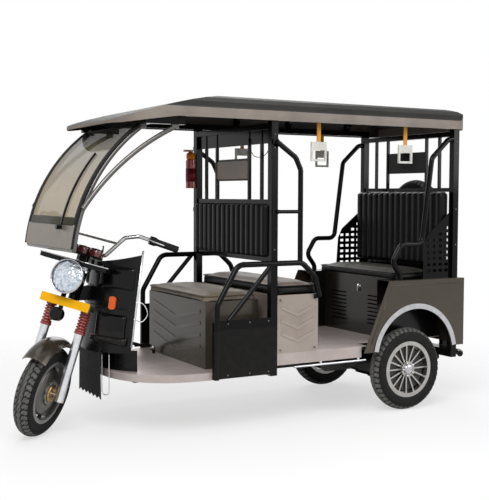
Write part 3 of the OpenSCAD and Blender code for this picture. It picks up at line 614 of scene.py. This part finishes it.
def cushion(name, node, body, crown, mat, seams, edge):
    """A padded seat: crowned top, sides that pull in, sewn seams and a boxing strip."""
    nx, ny, corner = 28, 64, 0.035
    top_inset, sink, swell_room = 0.012, 0.004, 0.008
    seam_depth, seam_half = 0.006, 0.006
    welt_drop, welt_inset, welt_r, strip_drop = 0.006, 0.006, 0.004, 0.001
    pressure, swell_cap = 3.0, 0.005
    side_rows = ((0.003, 0.8), (0.007, 0.45), (0.004, 0.0))  # inset and share of the height
    lo, hi = (Vector(v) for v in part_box(node))
    cx, cy = (lo.x + hi.x) / 2, (lo.y + hi.y) / 2
    hx, hy = (hi.x - lo.x) / 2, (hi.y - lo.y) / 2

    def rim(i, j, inset):
        """A grid place in plan, pulled in at the rounded corners."""
        x, y = (hx - inset) * (2 * i / nx - 1), (hy - inset) * (2 * j / ny - 1)
        ox = max(0, abs(x) - (hx - inset - corner))
        oy = max(0, abs(y) - (hy - inset - corner))
        d = math.hypot(ox, oy)
        if d > corner:
            x -= math.copysign(ox - ox * corner / d, x)
            y -= math.copysign(oy - oy * corner / d, y)
        return cx + x, cy + y

    verts = []
    for j in range(ny + 1):
        for i in range(nx + 1):
            u, v = 2 * i / nx - 1, 2 * j / ny - 1
            dome = (1 - u ** 4) * (1 - v ** 6)
            z = hi.z - crown * (1 - dome) - sink
            for s in seams:
                z -= seam_depth * math.exp(-((v - s) * hy / seam_half) ** 2) * dome
            verts.append((*rim(i, j, top_inset), z))
    grid = numbered(ny + 1, nx + 1)
    faces = strips_between(grid, False)
    ring = [(i, 0) for i in range(nx)] + [(nx, j) for j in range(ny)]
    ring += [(i, ny) for i in range(nx, 0, -1)] + [(0, j) for j in range(ny, 0, -1)]
    edge_z = hi.z - crown - welt_drop
    rows = [[grid[j][i] for i, j in ring]]
    for inset, share in side_rows:
        rows += numbered(1, len(ring), len(verts))
        verts += [(*rim(i, j, inset), lo.z + (edge_z - lo.z) * share) for i, j in ring]
    faces += flipped(strips_between(rows)) + [tuple(rows[-1])]
    ob = put(name, verts, faces, mat, body, None, True, (node,), None)
    ob.data.materials.append(M[edge])
    bm = bmesh.new()
    bm.from_mesh(ob.data)
    bmesh.ops.triangulate(bm, faces=[f for f in bm.faces if len(f.verts) > 4])
    bm.to_mesh(ob.data)
    bm.free()
    inflate(ob, pressure, swell_cap)
    for v in ob.data.vertices:
        v.co.z = min(max(v.co.z, lo.z), hi.z + swell_room)
    for p in ob.data.polygons:
        p.material_index = 1 if p.center.z < edge_z - strip_drop else 0
        p.use_smooth = True
    sub = ob.modifiers.new("soft", "SUBSURF")
    sub.levels = sub.render_levels = 1
    welt = [(*rim(i, j, welt_inset), edge_z) for i, j in ring]
    put(name + "_welt", *tube(welt, welt_r, 8, True), edge, body, None, True)


THIRDS = (-0.34, 0.34)
cushion("driver_cushion", "driver_seat", "driver_lid", 0.012, "vinyl_grey", (), "vinyl_grey")
cushion("middle_cushion", "mid_seat", "mid_lid", 0.018, "vinyl_tan", THIRDS, "vinyl_black")
cushion("rear_cushion", "rear_seat", "rear_lid", 0.018, "vinyl_dark", THIRDS, "vinyl_black")


def channel_back(name, node, channels=15):
    """A backrest sewn in upright channels, rounded over its top."""
    depth, end_round, thin = 0.012, 0.012, 0.004
    lo, hi = (Vector(v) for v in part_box(node))
    half, mid = (hi.x - lo.x) / 2, (hi.x + lo.x) / 2
    ny, nz = channels * 12, 36
    loop = []
    for j in range(ny + 1):
        v = j / ny
        bulge = abs(math.sin(math.pi * v * channels)) ** 0.55
        loop.append((lo.y + (hi.y - lo.y) * v, bulge))
    verts = []
    for k in range(nz + 1):
        t = k / nz
        z = lo.z + (hi.z - lo.z) * t
        swell = (1 - (2 * t - 1) ** 40) ** 0.5
        for side in (1, -1):
            for y, bulge in loop[::side]:
                ends = min(1.0, min(y - lo.y, hi.y - y) / end_round + 0.35)
                out = max(thin, (half - depth + depth * bulge) * swell * ends)
                verts.append((mid + side * out, y, z))
    rows = numbered(nz + 1, 2 * len(loop))
    faces = strips_between(rows) + [tuple(rows[0][::-1]), tuple(rows[-1])]
    ob = put(name, verts, faces, "vinyl_black", "chassis", None, True, (node,), "vinyl_black")


channel_back("driver_back_pad", "front_backrest")
channel_back("rear_back_pad", "rear_backrest")


# ---------- steering details ----------
BAR_BEND, BAR_END = Vector((-0.042, 0.235, 0.908)), Vector((-0.175, 0.410, 0.902))
BAR_STRAIGHT = 0.187  # length at the bar's end that carries the controls
GRIP_FROM, GRIP_TO, GRIP_R, GRIP_RIDGE, RIDGES = 0.066, 0.191, 0.0176, 0.0012, 32
grip = [(0.0112, GRIP_FROM), (0.020, GRIP_FROM), (0.020, 0.070)]
for i in range(2, RIDGES + 1):
    grip.append((GRIP_R + GRIP_RIDGE * (1 - i % 2),
                 GRIP_FROM + (GRIP_TO - GRIP_FROM) * i / RIDGES))
grip.append((0.0005, 0.1915))
switch = lathe([(0.0115, 0.029), (0.0225, 0.029), (0.024, 0.034), (0.024, 0.058),
                (0.0225, 0.063), (0.0115, 0.063)], 24, False)


def hand_controls(tag, s):
    """The grip, switch and lever at one end of the handlebar."""
    mirror = Vector((1, s, 1))
    along = (BAR_END - BAR_BEND).normalized() * mirror
    start = BAR_END * mirror - along * BAR_STRAIGHT
    place = Matrix.Translation(start) @ along.to_track_quat("Y", "Z").to_matrix().to_4x4()

    def beside(distance, x, z):
        """A place along the bar, set off from it."""
        return start + along * distance + Vector((x, 0, z))

    put(tag + "_grip", *lathe(grip, 28, False), "rubber", "steering", STEER @ place)
    perch = tube([beside(0.05, 0.022, 0), beside(0.05, 0.045, -0.003)], 0.008, 10)
    put(tag + "_switch", *join([move(switch, place), perch]), "black_plastic", "steering", STEER)
    lever = smooth_path([beside(0.045, 0.045, -0.003), beside(0.08, 0.052, -0.005),
                         beside(0.13, 0.042, -0.006)])
    put(tag + "_lever", *tube(lever, 0.0045, 8), "chrome_trim", "steering", STEER)


hand_controls("left", 1)
hand_controls("right", -1)
hood = lathe([(0.0325, -0.002), (0.0335, 0.010), (0.0335, 0.030), (0.030, 0.038),
              (0.021, 0.0425), (0.0005, 0.044)], 36, False)
hoods = [move(hood, at(0.054, y, 0.738) @ turned(90, "X")) for y in (-0.072, 0.0, 0.072)]
put("gauge_hoods", *join(hoods), "gauge_red", "steering", STEER)
TRAY_HALF, TRAY_Z = 0.191, 0.691
tray_corners = ((0.083, -1), (0.141, -1), (0.141, 1), (0.083, 1))
tray_rim = [(x, s * TRAY_HALF, TRAY_Z) for x, s in tray_corners]
put("tray_trim", *tube(tray_rim, 0.003, 8, True), "chrome_trim", "steering", STEER)
lamp_ring = lathe([(0.084, 0.094), (0.0895, 0.094), (0.0905, 0.100), (0.0885, 0.104),
                   (0.084, 0.103)], 64)
put("lamp_ring", *lamp_ring, "chrome_trim", "steering",
    STEER @ at(0.06, 0, 0.6) @ turned(-90, "Z"))
put("front_drum", *front_drum, "screen_tube", "front_wheel", STEER @ AXLE)
put("front_plate", *front_plate, "brake_gold", "front_wheel", STEER @ AXLE)


# ---------- leg shield ----------
SHIELD = CAR @ at(1.462, 0, 0.5) @ turned(-7.7, "Y")
EDGE_X, EDGE_Y, EDGE_R = 0.1955, 0.279, 0.0055
strips = [tube([(EDGE_X, s * EDGE_Y, z) for z in (-0.058, 0.2, 0.440)], EDGE_R, 8) for s in SIDES]
put("shield_strips", *join(strips), "bright_steel", "chassis", SHIELD)
RIB_AT, RIB_R = 0.3425, 0.0045
ribs = []
for z in (-0.02, 0.13):
    ribs.append(tube([(RIB_AT * c, RIB_AT * s, z) for c, s in map(polar, range(-52, 53, 4))],
                     RIB_R, 8))
put("shield_ribs", *join(ribs), "black_plastic", "chassis", SHIELD)


def shield_pad(a0, a1, z0, z1, rise):
    """A raised field with rolled edges on the shield's round face, between two plan angles."""
    roll, seat = 0.018, 0.342  # width of the rolled edge, radius that the field sits on

    def stations(length):
        ends = [roll * k for k in (0.0, 0.08, 0.25, 0.5, 0.75, 1.0)]
        inner = [roll + (length - 2 * roll) * k / 6 for k in range(1, 6)]
        return ends + inner + [length - e for e in reversed(ends)]

    def height(place, length):
        t = min(1.0, min(place, length - place) / roll)
        return math.sqrt(max(0.0, 1 - (1 - t) ** 2))

    width, tall = math.radians(a1 - a0) * seat, z1 - z0
    us, vs = stations(width), stations(tall)
    verts, faces = [], []
    for lift in (rise, 0.0):
        skin = strips_between(numbered(len(us), len(vs), len(verts)), False)
        faces += flipped(skin) if lift else skin
        for u in us:
            a = math.radians(a0) + u / seat
            for v in vs:
                r = seat + lift * height(u, width) * height(v, tall)
                verts.append((r * math.cos(a), r * math.sin(a), z0 + v))
    return verts, faces


# Each field's plan angles in degrees, its lower and upper edge and how far it stands out.
FIELDS = ((15, 51, 0.230, 0.345, 0.014), (17, 48, -0.052, 0.098, 0.020),
          (13, 51, -0.056, -0.012, 0.030))
pads = []
for s in SIDES:
    for near, far, z0, z1, rise in FIELDS:
        pads.append(shield_pad(*sorted((s * near, s * far)), z0, z1, rise))
put("shield_moulding", *join(pads), "gloss_black", "chassis", SHIELD)

# The brake pedal: a ribbed pad on a bent arm, with its pivot.
pedal = []
for i in range(5):
    x, z = 1.400 + 0.013 * i, 0.392 + 0.004 * i
    pedal.append(tube([(x, -0.275, z), (x, -0.205, z)], 0.0085, 10))
arm = [(1.425, -0.240, 0.390), (1.365, -0.242, 0.388), (1.318, -0.244, 0.374),
       (1.303, -0.244, 0.333)]
pedal.append(tube(smooth_path(arm), 0.009, 10))
put("brake_pedal", *join(pedal), "gloss_black", "chassis", CAR)
pivot = tube([(1.316, -0.262, 0.371), (1.316, -0.222, 0.371)], 0.010, 16)
put("pedal_pivot", *pivot, "bright_steel", "chassis", CAR)


# ---------- wires ----------
def wire(name, points, mat="bright_steel", r=0.0025):
    """A free wire that leaves the object and goes back into it."""
    path = [CAR @ Vector(q) for q in points]
    ob = put(name, *tube(path, r, 10), mat, "chassis")


def hanging_loop(leg_a, leg_b, top, low, step=0.02, turns=12):
    """Two upright legs that meet in a half circle below."""
    a, b = Vector((*leg_a, 0)), Vector((*leg_b, 0))
    mid, r, across = (a + b) / 2, (a - b).length / 2, (b - a).normalized()
    count = int((top - low) / step + 0.5)
    drop = [a + Vector((0, 0, top - step * i)) for i in range(count)]
    bend = []
    for i in range(turns + 1):
        t = math.pi * i / turns
        bend.append(mid + Vector((0, 0, low - r * math.sin(t))) - across * r * math.cos(t))
    rise = [b + Vector((0, 0, low + step + step * i)) for i in range(count)]
    return drop + bend + rise


side_run = [(1.640, 0.283, 0.700), (1.606, 0.300, 0.690), (1.585, 0.305, 0.640),
            (1.612, 0.296, 0.600), (1.652, 0.284, 0.615)]
wire("side_wire", smooth_path(side_run))
wire("under_wire", hanging_loop((1.742, 0.168), (1.766, 0.128), 0.432, 0.232))
PARTITION_WIRE_X = 0.9305
partition_run = [(0.196, 1.560), (0.212, 1.505), (0.262, 1.462), (0.335, 1.455),
                 (0.390, 1.472), (0.4195, 1.500)]
wire("partition_wire", smooth_path([(PARTITION_WIRE_X, y, z) for y, z in partition_run]),
     "rubber", 0.002)


# ---------- board, bolts and small trims ----------
def board(name, x, half_y, z0, z1, mat):
    """A thin board with rounded corners and a bevelled edge, facing forward."""
    corner, steps = 0.012, 7
    verts = []
    for depth, inset in ((0.0, 0.0), (0.0015, 0.0), (0.0025, 0.0015)):
        for cy, cz, a0 in ((1, 1, 0), (-1, 1, 90), (-1, -1, 180), (1, -1, 270)):
            for k in range(steps):
                c, s = polar(a0 + 15 * k)
                y = cy * (half_y - corner) + (corner - inset) * c
                z = (z0 + z1) / 2 + cz * ((z1 - z0) / 2 - corner) + (corner - inset) * s
                verts.append((x + depth, y, z))
    rows = numbered(3, 4 * steps)
    faces = strips_between(rows) + [tuple(rows[0][::-1]), tuple(rows[-1])]
    put(name, verts, faces, mat, "chassis", CAR, False)


board("partition_board", 0.9231, 0.181, 1.341, 1.442, "panel_grey")

BOLT_Y, BOLT_R = 0.4605, 0.005
bolt = lathe([(BOLT_R, -0.002), (BOLT_R, 0.0015), (BOLT_R * 0.7, 0.004), (0.0003, 0.005)],
             12, False)
bolts = []
for xs, zs in (((0.92, -0.34), (0.96, 1.17, 1.5, 1.57)),  # partition posts
               ((0.955, 1.07, 1.2), (0.313, 0.583)),  # side guards
               ((0.66, 0.88), (0.42, 0.69))):  # middle seat box
    for s in SIDES:
        facing = Matrix.Scale(s, 4, (0, 1, 0))
        bolts += [move(bolt, at(x, s * BOLT_Y, z) @ facing) for x in xs for z in zs]
put("bolt_heads", *join(bolts), "screen_tube", "chassis", CAR)
CREASE_Y = 0.4825
crease = ((-0.366, 0.736), (0.143, 0.736), (0.292, 0.412))
creases = [tube([(x, s * CREASE_Y, z) for x, z in crease], 0.003, 8) for s in SIDES]
put("body_creases", *join(creases), "body_paint", "chassis", CAR)

bench_front, LATCH_Y, LATCH_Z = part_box("rear_bench_box")[1][0], 0.02, 0.690


def on_latch(out, rise):
    """A place off the middle of the latch's plate."""
    return (bench_front + out, LATCH_Y, LATCH_Z + rise)


latch_plate = tube([on_latch(-0.001, 0), on_latch(0.002, 0)], 0.017, 20)
pull_run = smooth_path([on_latch(0.004, 0.014), on_latch(0.010, 0), on_latch(0.008, -0.028)])
latch_pull = tube(pull_run, 0.0055, 10)
put("bench_latch", *join([latch_plate, latch_pull]), "chrome_trim", "chassis")

# The fire extinguisher's label and valve, turned about its own axis.
BOTTLE = CAR @ at(0.97, -0.44, 1.29) @ turned(90, "X")
label = lathe([(0.0302, 0.04), (0.0306, 0.04), (0.0306, 0.12), (0.0302, 0.12)], 36)
put("extinguisher_band", *label, "label_red", "chassis", BOTTLE)
valve = lathe([(0.0185, 0.169), (0.025, 0.176), (0.027, 0.186), (0.027, 0.204), (0.022, 0.214),
               (0.0125, 0.218)], 28, False)
put("extinguisher_valve", *valve, "valve", "chassis", BOTTLE)


# ---------- windscreen edging ----------
SCREEN_X, SCREEN_Z, SCREEN_R = 1.13 - MID, 0.884, 0.888  # axis and radius of the screen's arc
SCREEN_HALF, CLEAR_HALF, SCREEN_TOP = 0.377, 0.340, 53.2


def arc(y, r, a0, a1, n=24):
    """Points on an arc about the screen's axis."""
    return [(SCREEN_X + r * c, y, SCREEN_Z + r * s)
            for c, s in (polar(a0 + (a1 - a0) * i / n) for i in range(n + 1))]


def band_on_screen(y0, y1, a0, a1, n=24):
    """A flat strip on the outer face of the screen, with rounded edges."""
    low, high, bevel = SCREEN_R + 0.0012, SCREEN_R + 0.0035, 0.001
    section = ((y0, low), (y0 + bevel, high), (y1 - bevel, high), (y1, low))
    lines = [arc(y, r, a0, a1, n) for y, r in section]
    verts = [line[i] for i in range(n + 1) for line in lines]
    rows = numbered(n + 1, len(lines))
    return verts, strips_between(rows) + [tuple(rows[0][::-1]), tuple(rows[-1])]


edging = [tube(arc(s * SCREEN_HALF, SCREEN_R, 6.6, SCREEN_TOP), 0.005, 8) for s in SIDES]
edging += [band_on_screen(*sorted((s * CLEAR_HALF, s * SCREEN_HALF)), 14.2, 52.8) for s in SIDES]
top_bar = [arc(s * SCREEN_HALF, SCREEN_R, 14, SCREEN_TOP)[-1] for s in SIDES]
edging.append(tube(top_bar, 0.006, 8))
put("screen_edging", *join(edging), "rubber", "chassis")
put("screen_seal", *band_on_screen(-CLEAR_HALF, CLEAR_HALF, 13.9, 16.6, 6), "seal", "chassis")


# ---------- stage, light and camera ----------
WHITE = (1, 1, 1, 1)
scene = bpy.context.scene


def shader_node(tree, kind, operation=None, **inputs):
    """A node with some of its inputs set."""
    n = tree.nodes.new(kind)
    if operation:
        n.operation = operation
    for k, v in inputs.items():
        n.inputs[k.replace("_", " ")].default_value = v
    return n


def blend(tree, fac, first, second):
    """Two shaders mixed by a factor."""
    n = tree.nodes.new("ShaderNodeMixShader")
    for i, source in enumerate((fac, first, second)):
        tree.links.new(source, n.inputs[i])
    return n.outputs[0]


def studio_world(light):
    """Even light on the object, with white for the camera, reflections and glass."""
    world = bpy.data.worlds.new("studio")
    scene.world = world
    world.use_nodes = True
    tree = world.node_tree
    dim = tree.nodes["Background"]
    dim.inputs["Color"].default_value, dim.inputs["Strength"].default_value = WHITE, light
    white = shader_node(tree, "ShaderNodeBackground", Color=WHITE, Strength=1.0)
    rays = shader_node(tree, "ShaderNodeLightPath")
    seen = rays.outputs["Is Camera Ray"]
    for kind in ("Is Transmission Ray", "Is Glossy Ray"):
        either = shader_node(tree, "ShaderNodeMath", "MAXIMUM")
        tree.links.new(seen, either.inputs[0])
        tree.links.new(rays.outputs[kind], either.inputs[1])
        seen = either.outputs[0]
    out = blend(tree, seen, dim.outputs[0], white.outputs[0])
    tree.links.new(out, tree.nodes["World Output"].inputs["Surface"])


def studio_floor(half, fade_from, fade_to, glow):
    """A pale floor that keeps the shadow and fades to the white background."""
    me = bpy.data.meshes.new("floor")
    corners = [(-half, -half, 0), (half, -half, 0), (half, half, 0), (-half, half, 0)]
    me.from_pydata(corners, [], [(0, 1, 2, 3)])
    floor = bpy.data.objects.new("floor", me)
    scene.collection.objects.link(floor)
    mat = bpy.data.materials.new("floor")
    mat.use_nodes = True
    tree = mat.node_tree
    base = tree.nodes["Principled BSDF"]
    base.inputs["Base Color"].default_value = (0.9, 0.9, 0.9, 1)
    base.inputs["Roughness"].default_value = 0.9
    place = shader_node(tree, "ShaderNodeTexCoord")
    distance = shader_node(tree, "ShaderNodeVectorMath", "LENGTH")
    tree.links.new(place.outputs["Object"], distance.inputs[0])
    fade = shader_node(tree, "ShaderNodeMapRange", From_Min=fade_from, From_Max=fade_to)
    tree.links.new(distance.outputs["Value"], fade.inputs["Value"])
    rays = shader_node(tree, "ShaderNodeLightPath")
    share = shader_node(tree, "ShaderNodeMath", "MULTIPLY")
    share.inputs[1].default_value = glow
    tree.links.new(rays.outputs["Is Camera Ray"], share.inputs[0])
    glowing = shader_node(tree, "ShaderNodeEmission", Strength=1.0)
    nothing = shader_node(tree, "ShaderNodeBsdfTransparent")
    pale = blend(tree, share.outputs[0], base.outputs[0], glowing.outputs[0])
    out = blend(tree, fade.outputs["Result"], pale, nothing.outputs[0])
    tree.links.new(out, tree.nodes["Material Output"].inputs["Surface"])
    me.materials.append(mat)
    return floor


def area(name, place, aim, size, power):
    """A square lamp that looks at a point."""
    lamp = bpy.data.lights.new(name, "AREA")
    lamp.size, lamp.energy = size, power
    ob = bpy.data.objects.new(name, lamp)
    ob.location = place
    ob.rotation_euler = (Vector(aim) - Vector(place)).to_track_quat("-Z", "Y").to_euler()
    scene.collection.objects.link(ob)


studio_world(0.24)
floor = studio_floor(9, 1.6, 3.4, 0.6)
area("key", (3.0, 3.8, 4.6), (0, 0, 0.8), 3.0, 270)
area("fill", (-3.4, 3.6, 2.6), (0, 0, 0.8), 2.6, 80)
area("top", (0, 0, 5.5), (0, 0, 0), 4.0, 90)
area("back", (-2.0, -4.0, 3.2), (0, 0, 1.0), 3.0, 70)

# The camera as fitted to the photograph: its place, its angles and its focal length in pixels.
EYE = Vector((3.5460 - MID, 4.7625, 1.2471))
YAW, PITCH, ROLL = 240.414, -3.277, 0.193
FOCAL, PICTURE, SENSOR = 951.37, 500, 36
cam = bpy.data.cameras.new("camera")
cam.lens, cam.sensor_width, cam.clip_end = FOCAL * SENSOR / PICTURE, SENSOR, 60
(cos_yaw, sin_yaw), (cos_pitch, sin_pitch), (cos_roll, sin_roll) = map(polar, (YAW, PITCH, ROLL))
ahead = Vector((cos_pitch * cos_yaw, cos_pitch * sin_yaw, sin_pitch))
level = ahead.cross(Vector((0, 0, 1))).normalized()
upright = level.cross(ahead)
right, up = level * cos_roll + upright * sin_roll, upright * cos_roll - level * sin_roll
camera = bpy.data.objects.new("camera", cam)
pose = [(right[i], up[i], -ahead[i], EYE[i]) for i in range(3)]
camera.matrix_world = Matrix(pose + [(0, 0, 0, 1)])
scene.collection.objects.link(camera)
scene.camera = camera
scene.view_settings.view_transform = "Standard"
